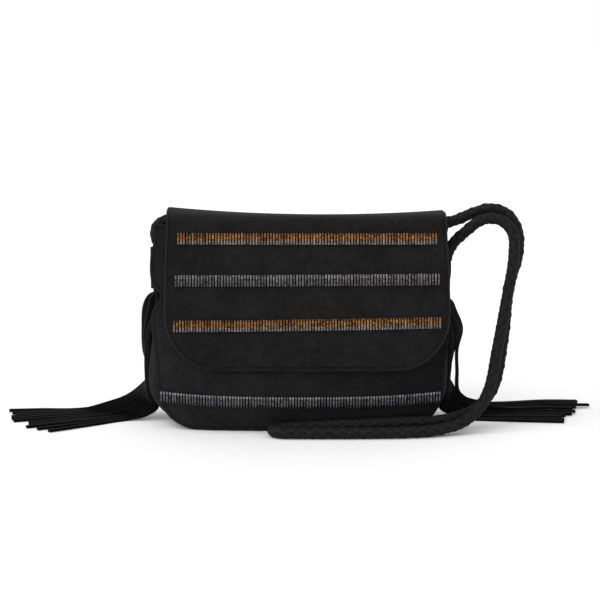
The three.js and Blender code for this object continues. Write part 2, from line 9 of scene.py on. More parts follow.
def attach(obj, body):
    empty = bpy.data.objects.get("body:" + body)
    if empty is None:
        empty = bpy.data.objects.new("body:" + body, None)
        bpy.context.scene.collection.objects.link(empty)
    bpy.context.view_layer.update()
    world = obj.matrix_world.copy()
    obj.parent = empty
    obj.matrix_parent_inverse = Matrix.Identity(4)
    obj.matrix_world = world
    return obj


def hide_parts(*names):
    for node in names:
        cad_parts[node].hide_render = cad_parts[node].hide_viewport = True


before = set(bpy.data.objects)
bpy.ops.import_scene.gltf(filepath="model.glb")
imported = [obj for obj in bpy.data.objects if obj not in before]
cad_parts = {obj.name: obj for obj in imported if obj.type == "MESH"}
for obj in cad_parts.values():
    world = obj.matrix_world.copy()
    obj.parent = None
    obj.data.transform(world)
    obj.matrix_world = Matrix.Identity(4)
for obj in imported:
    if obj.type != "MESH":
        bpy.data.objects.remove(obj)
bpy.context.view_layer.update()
random.seed(11)
mm = 0.001
scene = bpy.context.scene


# Small helpers for working with bpy.ops
def deselectAll():
    bpy.ops.object.select_all(action="DESELECT")


def pick(piece):
    deselectAll()
    piece.select_set(True)
    bpy.context.view_layer.objects.active = piece


def setAll(thing, **settings):
    for name, setting in settings.items():
        setattr(thing, name, setting)
    return thing


def nameIt(piece, name):
    piece.name = name
    piece.data.name = name
    return piece


def applyModifiers(piece):
    pick(piece)
    for modifier in list(piece.modifiers):
        bpy.ops.object.modifier_apply(modifier=modifier.name)


def smoothShade(piece, angle):
    pick(piece)
    bpy.ops.object.shade_smooth_by_angle(angle=radians(angle))


def joinAll(pieces, name):
    deselectAll()
    for piece in pieces:
        piece.select_set(True)
    bpy.context.view_layer.objects.active = pieces[0]
    bpy.ops.object.join()
    return nameIt(bpy.context.active_object, name)


def addPrimitive(add, name, **sizes):
    deselectAll()
    add(**sizes)
    return nameIt(bpy.context.active_object, name)


# Steps of edit mode, each on the whole of the active piece
def editAll(*steps):
    bpy.ops.object.mode_set(mode="EDIT")
    bpy.ops.mesh.select_all(action="SELECT")
    for step in steps:
        step()
    bpy.ops.object.mode_set(mode="OBJECT")


def clamp(value, low=0, high=1):
    return min(max(value, low), high)


def easeBoth(share):
    return share * share * (3 - 2 * share)


# A grid primitive whose points are then placed by their share across and along, each from -1 to 1
def layGrid(name, grid, place):
    add = bpy.ops.mesh.primitive_grid_add
    piece = addPrimitive(add, name, x_subdivisions=grid[0], y_subdivisions=grid[1], size=2)
    for vertex in piece.data.vertices:
        vertex.co = Vector(place(vertex.co.x, vertex.co.y)) * mm
    return piece


# Stores how far each point is from the sheet's cut edge, in metres, for the material
def markCutEdge(piece):
    mesh = piece.data
    count = {}
    for face in mesh.polygons:
        for key in face.edge_keys:
            count[key] = count.get(key, 0) + 1
    rim = sorted({index for key, uses in count.items() if uses == 1 for index in key})
    rimPoints = [mesh.vertices[index].co.copy() for index in rim]
    layer = mesh.attributes.new("fromEdge", "FLOAT", "POINT")
    for vertex in mesh.vertices:
        layer.data[vertex.index].value = min((vertex.co - point).length for point in rimPoints)


# Gives a sheet its thickness inwards and rounds its cut edges
def thicken(piece, thickness, edge, smooth=1, rimMaterial=0, even=True):
    solid = piece.modifiers.new("Solidify", "SOLIDIFY")
    setAll(solid, thickness=thickness * mm, offset=-1, use_even_offset=even, material_offset_rim=rimMaterial)
    bevel = piece.modifiers.new("Bevel", "BEVEL")
    setAll(bevel, width=edge * mm, segments=2, limit_method="ANGLE", angle_limit=radians(50))
    if smooth:
        setAll(piece.modifiers.new("Subdivision", "SUBSURF"), levels=smooth, render_levels=smooth)
    applyModifiers(piece)
    smoothShade(piece, 50)


# A smooth line through points, read at a share of its length in spans
def onLine(points, share):
    place = (len(points) - 1) * share
    i = min(int(place), len(points) - 2)
    weight = place - i
    b, c = points[i], points[i + 1]
    a = points[i - 1] if i > 0 else 2 * b - c
    d = points[i + 2] if i + 2 < len(points) else 2 * c - b
    before, span, after = [max(sqrt((q - p).length), 1e-4) for p, q in ((a, b), (b, c), (c, d))]
    leave = ((b - a) / before - (c - a) / (before + span) + (c - b) / span) * span
    arrive = ((c - b) / span - (d - b) / (span + after) + (d - c) / after) * span
    bend = (3 * (c - b) - 2 * leave - arrive) * weight ** 2 + (2 * (b - c) + leave + arrive) * weight ** 3
    return b + leave * weight + bend


# Points at even distances along a smooth line, and the line's length
def evenSteps(points, distance):
    fineCount = 24 * len(points)
    fine = [onLine(points, k / fineCount) for k in range(fineCount + 1)]
    travelled = [0.0]
    for before, after in zip(fine, fine[1:]):
        travelled.append(travelled[-1] + (after - before).length)
    count = max(2, round(travelled[-1] / distance))
    placed = []
    for k in range(count + 1):
        goal = travelled[-1] * k / count
        i = clamp(bisect_left(travelled, goal), 1, len(fine) - 1)
        part = (goal - travelled[i - 1]) / max(travelled[i] - travelled[i - 1], 1e-9)
        placed.append(fine[i - 1].lerp(fine[i], part))
    return placed, travelled[-1]


# Camera, at the photograph's place
view = {"eye": (-0.4, -1514, 400), "tilt": 11.07, "lens": 111.2, "sensor": 36, "clipEnd": 60}  # clipEnd in m
camera = addPrimitive(
    bpy.ops.object.camera_add, "camera",
    location=[mm * value for value in view["eye"]],
    rotation=(radians(90 - view["tilt"]), 0, 0),
)
setAll(camera.data, sensor_width=view["sensor"], lens=view["lens"], clip_end=view["clipEnd"])
scene.camera = camera
print("camera placed")


# Materials
def newMaterial(name):
    material = bpy.data.materials.new(name)
    material.use_nodes = True
    nodes = material.node_tree.nodes
    return material, nodes["Principled BSDF"], nodes.new("ShaderNodeTexCoord").outputs["Object"]


# Sets inputs to values or links them to sockets
def feed(inputs, values):
    for key, value in values.items():
        if isinstance(value, bpy.types.NodeSocket):
            inputs[key].id_data.links.new(value, inputs[key])
        else:
            inputs[key].default_value = (*value, 1) if isinstance(value, tuple) else value


# A new node in the tree of the sockets that feed it
def addNode(kind, values, **settings):
    tree = next(value.id_data for value in values.values() if isinstance(value, bpy.types.NodeSocket))
    node = setAll(tree.nodes.new(kind), **settings)
    feed(node.inputs, values)
    return node


def readAttribute(beside, name):
    node = beside.id_data.nodes.new("ShaderNodeAttribute")
    node.attribute_name = name
    return node.outputs["Fac"]


def addNoise(coords, scale, detail, roughness):
    values = {"Vector": coords, "Scale": scale, "Detail": detail, "Roughness": roughness}
    return addNode("ShaderNodeTexNoise", values).outputs["Fac"]


def addRamp(value, stops):
    node = addNode("ShaderNodeValToRGB", {"Fac": value})
    elements = node.color_ramp.elements
    elements[0].position, elements[0].color = stops[0][0], (*stops[0][1], 1)
    elements[1].position, elements[1].color = stops[-1][0], (*stops[-1][1], 1)
    for position, colour in stops[1:-1]:
        elements.new(position).color = (*colour, 1)
    return node.outputs["Color"]


def addMath(operation, first, second):
    return addNode("ShaderNodeMath", {0: first, 1: second}, operation=operation).outputs[0]


# first * share + second
def addScaled(first, share, second):
    return addMath("ADD", addMath("MULTIPLY", first, share), second)


def blendValues(first, second, share):
    return addScaled(first, share, addMath("MULTIPLY", second, 1 - share))


def addBump(height, distance, strength, under=None):
    values = {"Height": height, "Distance": distance, "Strength": strength}
    if under:
        values["Normal"] = under
    return addNode("ShaderNodeBump", values).outputs["Normal"]


def mixColours(share, first, second, blend="MIX"):
    values = {0: share, 6: first, 7: second}  # the colour inputs of this node
    return addNode("ShaderNodeMix", values, data_type="RGBA", blend_type=blend).outputs[2]


# Multiplies a colour by greys that follow a value
def shadeBy(colour, value, greys):
    return mixColours(1.0, colour, addRamp(value, [(at, (grey,) * 3) for at, grey in greys]), "MULTIPLY")


suedeLook = {  # lengths in metres
    "brushedDown": (0.0056, 0.0056, 0.0058),  # nap lying flat
    "brushedUp": (0.0125, 0.0124, 0.0125),  # nap raised
    "brushedOver": (0.34, 0.66),
    "cutEdge": (0.0205, 0.0197, 0.0193),
    "panelEdge": (0.0135, 0.013, 0.013),
    "pressed": (0.004, 0.004, 0.0042),  # along a sewn line
    "patches": (38, 5, 0.62),  # scale, detail and roughness of a noise
    "strokes": (210, 4, 0.6),
    "napAndLaceShade": (1500, 3, 0.7),
    "patchShare": 0.55,
    "fibreGreys": ((0.3, 0.72), (0.7, 1.24)),
    # painted light and shade: paler to one side, darker to the other
    "paintedLightGreys": ((0, 0.7), (1, 1.3)),
    # painted shade on the laces outside the stretch where they hang
    "laceShadeGreys": ((0, 0.12), (1, 1)),
    # painted shade in the gusset's fold beside the panels
    "creaseShadeGreys": ((0.15, 0.12), (0.9, 1)),
    "creaseShadeRise": 140,
    "strokeDepth": 0.0005,
    "napDepth": 0.0003,
    "edgeWidth": 0.0008,
    "groove": 0.0029,  # from the cut edge to the sewn line
    "grooveRise": 900,
    "grooveDepth": 0.0005,
    "snap": (0.0086, -0.0385, 0.0738),  # middle of the round bulge a hidden snap presses into the flap
    "snapRadii": (0.004, 0.0088),
    # painted highlight on the snap's bulge, partly rubbed nap
    "snapRubAndHighlight": 0.36,
    "snapHeight": 0.002,
}


# Brushed suede: patches where the nap lies another way, fine fibres, and a paler cut edge. A slant paints
# light on one side and shade on the other. The lace and crease options paint shade where a point
# attribute is low, and the snap option paints a highlight on the snap's bulge, partly rubbed nap.
def makeSuede(
    name, edge=None, lift=1.0, sheen=0.03, paintedLightSlant=0, hasSnap=False, hasLaceShade=False, hasCreaseShade=False,
):
    look = suedeLook
    material, shader, coords = newMaterial(name)
    patches, strokes, napAndLaceShade = [addNoise(coords, *look[key]) for key in ("patches", "strokes", "napAndLaceShade")]
    mixed = blendValues(patches, strokes, look["patchShare"])
    tones = [tuple(lift * value for value in look[key]) for key in ("brushedDown", "brushedUp")]
    colour = addRamp(mixed, list(zip(look["brushedOver"], tones)))
    colour = shadeBy(colour, napAndLaceShade, look["fibreGreys"])
    normal = addBump(strokes, look["strokeDepth"], 0.3)
    # Painted light and shade along X: paler to one side, darker to the other
    if paintedLightSlant:
        across = addNode("ShaderNodeSeparateXYZ", {0: coords}).outputs[0]
        colour = shadeBy(colour, addScaled(across, paintedLightSlant, 0.5), look["paintedLightGreys"])
    # Painted shade: the laces darken where their point attribute is low, where they lie on the floor and
    # near the head
    if hasLaceShade:
        colour = shadeBy(colour, readAttribute(coords, "napAndLaceShade"), look["laceShadeGreys"])
    # Painted shade in the fold: darker towards the sheet's cut edges
    if hasCreaseShade:
        creaseShade = addMath("MULTIPLY", readAttribute(coords, "fromEdge"), look["creaseShadeRise"])
        colour = shadeBy(colour, creaseShade, look["creaseShadeGreys"])
    if edge:
        distance = readAttribute(coords, "fromEdge")
        ragged = addScaled(strokes, look["edgeWidth"], distance)
        near = addMath("LESS_THAN", ragged, look["edgeWidth"])
        colour = mixColours(near, colour, look[edge])
        off = addMath("ABSOLUTE", addMath("SUBTRACT", distance, look["groove"]), 0)
        level = addMath("MINIMUM", addMath("MULTIPLY", off, look["grooveRise"]), 1)
        colour = mixColours(level, look["pressed"], colour)
        normal = addBump(level, look["grooveDepth"], 0.8, normal)
    if hasSnap:
        apart = addNode("ShaderNodeVectorMath", {0: coords}, operation="DISTANCE")
        apart.inputs[1].default_value = look["snap"]
        values = dict(enumerate((apart.outputs["Value"], *look["snapRadii"], 1, 0)))
        disc = addNode("ShaderNodeMapRange", values, interpolation_type="SMOOTHSTEP").outputs[0]
        # Painted highlight on the snap's bulge, partly rubbed nap: a paler disc of the cut edge's colour
        rubbedAndLit = addMath("MULTIPLY", disc, addMath("MULTIPLY", strokes, look["snapRubAndHighlight"]))
        colour = mixColours(rubbedAndLit, colour, look["cutEdge"])
        normal = addBump(disc, look["snapHeight"], 1, normal)
    feed(shader.inputs, {
        "Base Color": colour,
        "Normal": addBump(napAndLaceShade, look["napDepth"], 0.5, normal),
        "Roughness": addScaled(patches, 0.12, 0.84),
        "Specular IOR Level": 0.08,
        "Sheen Weight": sheen,
        "Sheen Roughness": 0.5,
        "Sheen Tint": (0.55, 0.55, 0.57),
    })
    return material


braidLook = {
    "low": (0.0008, 0.0008, 0.0009),
    "high": (0.0094, 0.0092, 0.0094),
    "toneOver": (0.46, 0.94),
    "grain": (900, 4, 0.65),  # scale, detail and roughness of a noise
    "worn": (230, 4, 0.65),
    "grainShare": 0.4,
    # painted light on a strand's raised parts, painted shade where it dips under
    "raisedLightShare": 0.36,
    "grainDepth": 0.0003,  # metres
}


# Leather strand, with painted shade where it goes under its neighbours and painted light where it rises over
# them
def makeStrand():
    material, shader, coords = newMaterial("strandLeather")
    grain, worn = [addNoise(coords, *braidLook[key]) for key in ("grain", "worn")]
    grained = blendValues(grain, worn, braidLook["grainShare"])
    # Painted light and shade: paler where the strand is raised, darker where it dips under
    tone = addScaled(readAttribute(coords, "raised"), braidLook["raisedLightShare"], grained)
    feed(shader.inputs, {
        "Base Color": addRamp(tone, list(zip(braidLook["toneOver"], (braidLook["low"], braidLook["high"])))),
        "Normal": addBump(grain, braidLook["grainDepth"], 0.5),
        "Roughness": addScaled(grain, 0.2, 0.6),
        "Specular IOR Level": 0.14,
    })
    return material


suede = makeSuede("suede", "panelEdge")
# the front panel gets painted light on its left and painted shade on its right
panelSuede = makeSuede("panelSuede", "panelEdge", paintedLightSlant=-4)
flapSuede = makeSuede("flapSuede", "cutEdge", hasSnap=True)
# the gusset gets painted shade in its fold along the seams
gussetSuede = makeSuede("gussetSuede", hasCreaseShade=True)
strandLeather = makeStrand()


# Strap: one cord, braided from eight leather strands
strap = {
    "diameter": 10,
    "lead": 42,  # length in which a strand goes round once
    "radius": 3.45,  # to the middle of the strands
    "overUnder": 0.5,
    "strandWidth": 5.0,
    "strandThickness": 2.3,
    "core": 2.8,
    "strandsEachWay": 4,
    "squareness": 0.7,  # of a strand's section, 1 is round
    "raisedOver": 1.2,
    "strandGrid": (8, 20),
    "coreGrid": (8, 8),
    "pathStep": 1.5,
    "unitWeld": 0.01,
    "leadWeld": 0.03,
    "route": [  # metres
        (-0.1177, 0.004, 0.122), (-0.1177, 0.004, 0.141), (-0.1177, 0.004, 0.1505),
        (-0.1204, 0.0048, 0.159), (-0.1165, 0.006, 0.1676), (-0.104, 0.007, 0.1706),
        (-0.04, 0.008, 0.1654), (0.1215, 0.0085, 0.1678), (0.1428, 0.0114, 0.175), (0.157, 0.011, 0.179),
        (0.171, 0.008, 0.1752), (0.1796, 0.0036, 0.1621), (0.18, -0.001, 0.1428),
        (0.1724, -0.0072, 0.1165), (0.1678, -0.0152, 0.0748), (0.159, -0.0219, 0.033),
        (0.1457, -0.026, 0.0181), (0.122, -0.0342, 0.0106), (0.07, -0.0432, 0.0092),
        (-0.005, -0.0429, 0.0056), (-0.0175, -0.0442, 0.005), (-0.023, -0.05, 0.005),
        (-0.0175, -0.056, 0.005), (-0.005, -0.057, 0.005), (0.088, -0.0546, 0.005),
        (0.115, -0.0488, 0.006), (0.134, -0.0426, 0.0107), (0.1465, -0.0382, 0.021),
        (0.1552, -0.033, 0.036), (0.1617, -0.027, 0.0672), (0.1687, -0.0204, 0.104),
        (0.1753, -0.0128, 0.1422), (0.1746, -0.0075, 0.1615), (0.1651, -0.0016, 0.1712),
        (0.1507, 0.0012, 0.1713), (0.1355, 0.0032, 0.1598), (0.126, 0.0039, 0.15), (0.122, 0.004, 0.141),
        (0.1178, 0.004, 0.126), (0.1177, 0.004, 0.118),
    ],
}


# One strand over one lead, as a tube laid round the cord's middle line
def makeStrandTube(turn, start, lead):
    slope = atan2(2 * pi * strap["radius"], lead)

    def place(around, along):
        section = pi * (around + 1)
        flat = abs(cos(section)) ** strap["squareness"]
        wide = strap["strandWidth"] / 2 * copysign(flat, cos(section))
        thick = strap["strandThickness"] / 2 * sin(section)
        share = (along + 1) / 2
        crossing = cos(2 * pi * strap["strandsEachWay"] * share + (0 if turn > 0 else pi))
        radius = strap["radius"] + strap["overUnder"] * crossing + thick
        angle = turn * (2 * pi * share) + start + turn * wide * cos(slope) / strap["radius"]
        forward = lead * share - wide * sin(slope)
        return forward, radius * cos(angle), radius * sin(angle)

    strand = layGrid("strand", strap["strandGrid"], place)
    raised = strand.data.attributes.new("raised", "FLOAT", "POINT")
    for vertex in strand.data.vertices:
        away = hypot(vertex.co.y, vertex.co.z) / mm
        raised.data[vertex.index].value = clamp((away - strap["radius"]) / strap["raisedOver"])
    if turn < 0:
        pick(strand)
        editAll(bpy.ops.mesh.flip_normals)
    return strand


def makeStrap():
    route, length = evenSteps([Vector(point) for point in strap["route"]], strap["pathStep"] * mm)
    leads = round(length / (strap["lead"] * mm))
    lead = length / leads / mm
    count = strap["strandsEachWay"]
    strands = [makeStrandTube(turn, 2 * pi * k / count, lead) for turn in (1, -1) for k in range(count)]
    core = layGrid("core", strap["coreGrid"], lambda around, along: (
        lead * (along + 1) / 2,
        strap["core"] * cos(pi * around),
        strap["core"] * sin(pi * around),
    ))
    braid = joinAll(strands + [core], "strapBraid")
    editAll(lambda: bpy.ops.mesh.remove_doubles(threshold=strap["unitWeld"] * mm))

    curve = bpy.data.curves.new("strapRoute", "CURVE")
    curve.dimensions = "3D"
    spline = curve.splines.new("POLY")
    spline.points.add(len(route) - 1)
    for target, point in zip(spline.points, route):
        target.co = (*point, 1)
    path = bpy.data.objects.new("strapRoute", curve)
    scene.collection.objects.link(path)

    setAll(
        braid.modifiers.new("Array", "ARRAY"), count=leads,
        use_relative_offset=False, use_constant_offset=True, constant_offset_displace=(lead * mm, 0, 0),
        use_merge_vertices=True, merge_threshold=strap["leadWeld"] * mm,
    )
    setAll(braid.modifiers.new("Curve", "CURVE"), object=path, deform_axis="POS_X")
    applyModifiers(braid)
    bpy.data.objects.remove(path)
    pick(braid)
    editAll(lambda: bpy.ops.mesh.fill_holes(sides=0), bpy.ops.mesh.normals_make_consistent)
    smoothShade(braid, 60)
    braid.data.materials.append(strandLeather)
    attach(braid, "root")
    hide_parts("strap")
    print("strap braided,", round(length, 3), "m in", leads, "leads")


makeStrap()


# Body: two panels and a gusset. The columns of these tables are shares, as a pattern cutter's chart.
body = {
    "width": 240,
    "frontHeight": 168.5,
    "backHeight": 167,
    "depth": 68,
    "corner": 34,
    "cornerShare": 0.24,  # of the length of half a panel's outline
    "panelWall": 1.8,
    "gussetWall": 1.6,
    "cutRound": 0.45,
    "leaning": 1.12,  # a leaning wall's extent along Y over its thickness
    "seam": 0.4,
    "seamClose": 0.5,  # how much nearer than in the CAD the gusset's edges lie
    "closeShare": 0.125,  # of the gusset's width at each seam
    "lap": 1.2,
    "lift": 0.5,
    "mouthSag": 5,
    "mouthSpan": 210,
    "sideShare": 0.4,  # of the gusset strip on each side, the rest is the base
    "wave": 0.5,
    "waveLength": (55, 48),
    "waveOver": 30,  # height over which the waves grow from the base
    "crease": 0.7,
    "creaseLength": (9, 40),
    "panelGrid": (64, 60),
    "gussetGrid": (26, 130),
}
frontForm = {
    "height": [0, 0.07, 0.16, 0.3, 0.45, 0.57, 0.655, 0.72, 0.85, 0.93, 1],
    "width": [0.985, 0.985, 0.985, 0.996, 1.018, 1.024, 0.958, 1.022, 1.028, 1.002, 1.018],
    "reach": [1, 1.12, 1.19, 1.16, 1.04, 0.91, 0.8, 0.72, 0.565, 0.455, 0.36],
    "ease": [0.3, 0.42, 0.47, 0.45, 0.38, 0.3, 0.25, 0.215, 0.15, 0.12, 0.09],
}
backForm = {
    "height": [0, 0.07, 0.16, 0.3, 0.45, 0.57, 0.67, 0.83, 1],
    "width": [0.985, 0.985, 0.985, 0.998, 1.014, 1.028, 1.036, 1.034, 1.02],
    "reach": [1, 1.08, 1.13, 1.12, 1.06, 0.99, 0.93, 0.83, 0.74],
    "ease": [0.3, 0.4, 0.42, 0.4, 0.34, 0.28, 0.22, 0.16, 0.1],
}
gussetForm = {
    "height": [0, 0.03, 0.07, 0.15, 0.24, 0.38, 0.48, 0.57, 0.64, 0.73, 0.87, 1],
    "fold": [0, 0, 0, 0, 0, 0, 0, 0.08, 0.176, 0.21, 0.22, 0.24],
    "belly": [0, 0.03, 0.085, 0.14, 0.14, 0.08, 0.02, 0, 0, 0, 0, 0],
    "dip": [0, 0, 0, 0, 0, 0, 0, 0, 0, 0, 0.04, 0.16],
}
sideBelly = {-1: 1, 1: 0.55}
halfWidth = body["width"] / 2
halfDepth = body["depth"] / 2
frontHeight, backHeight = body["frontHeight"], body["backHeight"]
walls = {-1: (frontForm, frontHeight), 1: (backForm, backHeight)}  # by the way a panel faces along Y


# A column of a form at a height, on a smooth curve
def readForm(form, column, at):
    heights, values = form["height"], form[column]
    i = min(bisect_left(heights, at, 1) - 1, len(heights) - 2)

    def slope(k):
        low, high = max(k - 1, 0), min(k + 1, len(heights) - 1)
        return (values[high] - values[low]) / (heights[high] - heights[low])

    span = heights[i + 1] - heights[i]
    t = clamp((at - heights[i]) / span)
    bend = slope(i) * t * (1 - t) ** 2 - slope(i + 1) * t * t * (1 - t)
    return values[i] + (values[i + 1] - values[i]) * easeBoth(t) + bend * span


def panelHalfWidth(facing, z):
    form, height = walls[facing]
    side = halfWidth * readForm(form, "width", max(z, body["corner"]) / height)
    drop = max(body["corner"] - z, 0)
    return side - body["corner"] + sqrt(max(body["corner"] ** 2 - drop ** 2, 0))


def panelReach(facing, x, z):
    form, height = walls[facing]
    share = clamp(z / height)
    turned = abs(x / halfWidth) ** 3
    return halfDepth * (readForm(form, "reach", share) - readForm(form, "ease", share) * turned)


def sagAt(x, span):
    return body["mouthSag"] * (1 - min(1, 2 * abs(x) / span) ** 2)


# Height above a panel's lower edge and the turn of its outline, for a share of it, round the corner first
def panelLevel(height, share):
    corner, cornerShare = body["corner"], body["cornerShare"]
    if share < cornerShare:
        angle = share / cornerShare * pi / 2
        return corner * (1 - cos(angle)), angle
    rest = (share - cornerShare) / (1 - cornerShare)
    return corner + (height - corner) * rest, pi / 2


# Slight waves of the panels
def panelSoftness(x, z, facing):
    wide, high = body["waveLength"]
    return body["wave"] * noise.noise(Vector((x / wide, z / high, 3 * facing))) * clamp(z / body["waveOver"])


def panelPoint(facing, across, along):
    height = walls[facing][1]
    z = panelLevel(height, (along + 1) / 2)[0]
    x = -facing * panelHalfWidth(facing, z) * across
    lower = sagAt(x, body["mouthSpan"]) * (z / height) ** 6 if facing > 0 else 0
    reach = panelReach(facing, x, z) + panelSoftness(x, z, facing)
    return x, facing * reach, z + body["lift"] - lower


def seamPoint(facing, side, z, angle):
    out = Vector((side * sin(angle), 0, -cos(angle)))
    x = side * panelHalfWidth(facing, z)
    behind = body["panelWall"] * body["leaning"] + 1.6 * body["seam"]
    inside = facing * (panelReach(facing, x, z) - behind)
    return Vector((x, inside, z + body["lift"])) - out * body["lap"], out


# A point of the gusset's outer face. Level runs up one side, across from the front seam to the back one.
def gussetAt(side, level, across):
    z, angle = panelLevel(frontHeight, level)
    share = z / frontHeight
    front, frontOut = seamPoint(-1, side, z, angle)
    back, backOut = seamPoint(1, side, panelLevel(backHeight, level)[0], angle)
    out = (frontOut + backOut).normalized()
    crown = sin(pi * across)
    valley = (1 - cos(2 * pi * across)) / 2
    flat = min(1, 5 * min(across, 1 - across))
    base = (body["lift"] + body["lap"]) * flat * max(-out.z, 0) ** 4
    belly = readForm(gussetForm, "belly", share) * crown * sideBelly[side]
    bulge = belly - readForm(gussetForm, "fold", share) * valley
    point = front.lerp(back, across) + out * (body["depth"] * bulge + base)
    point.z -= body["depth"] * readForm(gussetForm, "dip", share) * crown
    return point


# Draws the gusset's edges nearer to the panels, so that little light shows between them
def closeSeam(point, lane):
    facing = copysign(1, lane - 0.5)
    near = max(1 - min(lane, 1 - lane) / body["closeShare"], 0)
    point.y += facing * near * (body["seamClose"] + panelSoftness(point.x, point.z - body["lift"], facing))
    return point


def gussetPoint(across, along):
    lane = (across + 1) / 2
    base = 1 - 2 * body["sideShare"]
    if abs(along) <= base:
        rest = (along / base + 1) / 2
        return closeSeam(gussetAt(-1, 0, lane).lerp(gussetAt(1, 0, lane), rest), lane)
    side = copysign(1, along)
    level = (abs(along) - base) / (2 * body["sideShare"])
    point = gussetAt(side, level, lane)
    wide, high = body["creaseLength"]
    crease = noise.noise(Vector((point.y / wide, point.z / high, 5 * side))) * sin(pi * lane)
    point.x += body["crease"] * crease * min(1, level * 3)
    return closeSeam(point, lane)


def makeBody():
    front = layGrid("frontPanel", body["panelGrid"], lambda across, along: panelPoint(-1, across, along))
    back = layGrid("backPanel", body["panelGrid"], lambda across, along: panelPoint(1, across, along))
    sides = layGrid("gussetStrip", body["gussetGrid"], gussetPoint)
    for piece, wall, look in (
        (front, body["panelWall"], panelSuede), (back, body["panelWall"], suede),
        (sides, body["gussetWall"], gussetSuede),
    ):
        markCutEdge(piece)
        thicken(piece, wall, body["cutRound"])
        piece.data.materials.append(look)
        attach(piece, "root")
    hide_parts("front_panel")
    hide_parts("back_panel")
    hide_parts("gusset")
    print("body sewn")


makeBody()


# Flap: hangs from the back over the mouth and down the front
flap = {
    "width": 234,
    "top": 178,
    "lowerEdge": 53,
    "corner": 45,
    "wall": 2.2,
    "cutRound": 0.5,
    "shift": 5.5,
    "tailShift": 4,
    "shiftOver": 1.6,  # as a share of half the body's depth
    "tailLean": 2.6,
    "cornerRows": 12,
    "firstRow": 1.1,  # the form's rows begin this many corners above the lower edge
    "wave": 0.35,
    "waveLength": (48, 36),
    "waveOver": 20,  # depth over which the waves grow to the front
    "backWave": 0.2,
    "grid": (64, 84),
}
flapForm = {
    "forward": [1.27, 1.23, 1.13, 1, 0.84, 0.66, 0.5, 0.42, 0.22, -0.24, -0.6, -0.81, -0.88, -0.82, -0.8],
    "height": [0.298, 0.37, 0.46, 0.56, 0.68, 0.81, 0.92, 0.972, 0.994, 1, 1, 0.99, 0.957, 0.9, 0.83],
    "width": [1, 1, 1, 1, 0.998, 0.992, 0.984, 0.983, 0.983, 0.983, 0.972, 0.945, 0.915, 0.9, 0.897],
    "ease": [0.1, 0.1, 0.1, 0.09, 0.08, 0.07, 0.05, 0.04, 0.02, 0, 0, 0, 0, 0, 0],
    "sag": [0, 0, 0, 0, 0, 0, 0.05, 0.15, 0.3, 0.7, 1, 1.03, 1, 0.3, 0],
}
flapFront = {column: values[:7] for column, values in flapForm.items()}
flapSeat = body["seam"] + body["leaning"] * flap["wall"]


def flapRowPoint(row, share):
    half = flap["width"] / 2 * row["width"] - row["inset"]
    x = half * share
    turned = abs(x / halfWidth) ** 3
    turnedBack = clamp((1 - row["forward"]) / flap["shiftOver"])
    shift = flap["shift"] + (flap["tailShift"] - flap["shift"]) * turnedBack
    lean = flap["tailLean"] / 2 * share * min(row["sag"], 1)
    z = row["height"] * flap["top"] - row["sag"] * sagAt(x, flap["width"]) - lean
    facing = -1 if row["forward"] > 0 else 1
    reach = halfDepth * (abs(row["forward"]) - row["ease"] * turned)
    if row["height"] * flap["top"] < walls[facing][1]:
        seat = panelReach(facing, 0 if facing < 0 else x + shift, z - body["lift"]) + flapSeat
        reach = max(reach, seat - halfDepth * row["ease"] * turned)
    return Vector((x + shift, facing * reach, z))


def flapRows():
    rows = []
    for k in range(flap["cornerRows"] + 1):
        angle = pi / 2 * k / flap["cornerRows"]
        height = (flap["lowerEdge"] + flap["corner"] * (1 - cos(angle))) / flap["top"]
        row = {column: readForm(flapFront, column, height) for column in ("forward", "width", "ease", "sag")}
        rows.append({**row, "height": height, "inset": flap["corner"] * (1 - sin(angle))})
    for k, height in enumerate(flapForm["height"]):
        above = (height * flap["top"] - flap["lowerEdge"]) / flap["corner"]
        if flapForm["forward"][k] < 1 and above > flap["firstRow"]:
            rows.append({column: values[k] for column, values in flapForm.items()} | {"inset": 0})
    return rows


# A point of the flap's or the front panel's outer face, by its place seen from the front
def faceAt(onPanel, x, z):
    if onPanel:
        return Vector((x, -panelReach(-1, x, z - body["lift"]), z))
    height = z / flap["top"]
    turned = abs(x / halfWidth) ** 3
    seat = panelReach(-1, 0, z - body["lift"]) + flapSeat
    reach = max(halfDepth * readForm(flapFront, "forward", height), seat)
    return Vector((x + flap["shift"], halfDepth * readForm(flapFront, "ease", height) * turned - reach, z))


def makeFlap():
    rows = flapRows()
    columns = flap["grid"][0]
    lines = {}
    for c in range(columns + 1):
        share = -1 + 2 * c / columns
        lines[round(share, 4)] = [flapRowPoint(row, share) for row in rows]
    piece = layGrid("flapSheet", flap["grid"], lambda across, along: onLine(
        lines[round(across, 4)], (along + 1) / 2))
    markCutEdge(piece)
    wide, high = flap["waveLength"]
    for vertex in piece.data.vertices:  # slight waves of a soft skin
        place = vertex.co / mm
        loose = min(1, -place.y / flap["waveOver"]) if place.y < 0 else flap["backWave"]
        wave = noise.noise(Vector((place.x / wide, place.z / high, 1.7)))
        vertex.co.y += flap["wave"] * mm * loose * wave
    thicken(piece, flap["wall"], flap["cutRound"])
    piece.data.materials.append(flapSuede)
    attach(piece, "root")
    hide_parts("flap")
    print("flap cut and folded")


makeFlap()


# Copies of one small model, each with its own mesh, joined into one piece
def placeCopies(model, places, name, dress=None):
    copies = []
    for k, place in enumerate(places):
        copy = model.copy()
        copy.data = model.data.copy()
        copy.data.transform(place)
        scene.collection.objects.link(copy)
        if dress:
            dress(copy, k)
        copies.append(copy)
    return joinAll(copies, name)


# A turn and place from three directions and a point in metres
def frameAt(point, right, ahead, up, size=(1, 1, 1)):
    turn = Matrix((right * size[0], ahead * size[1], up * size[2])).transposed().to_4x4()
    return Matrix.Translation(point) @ turn


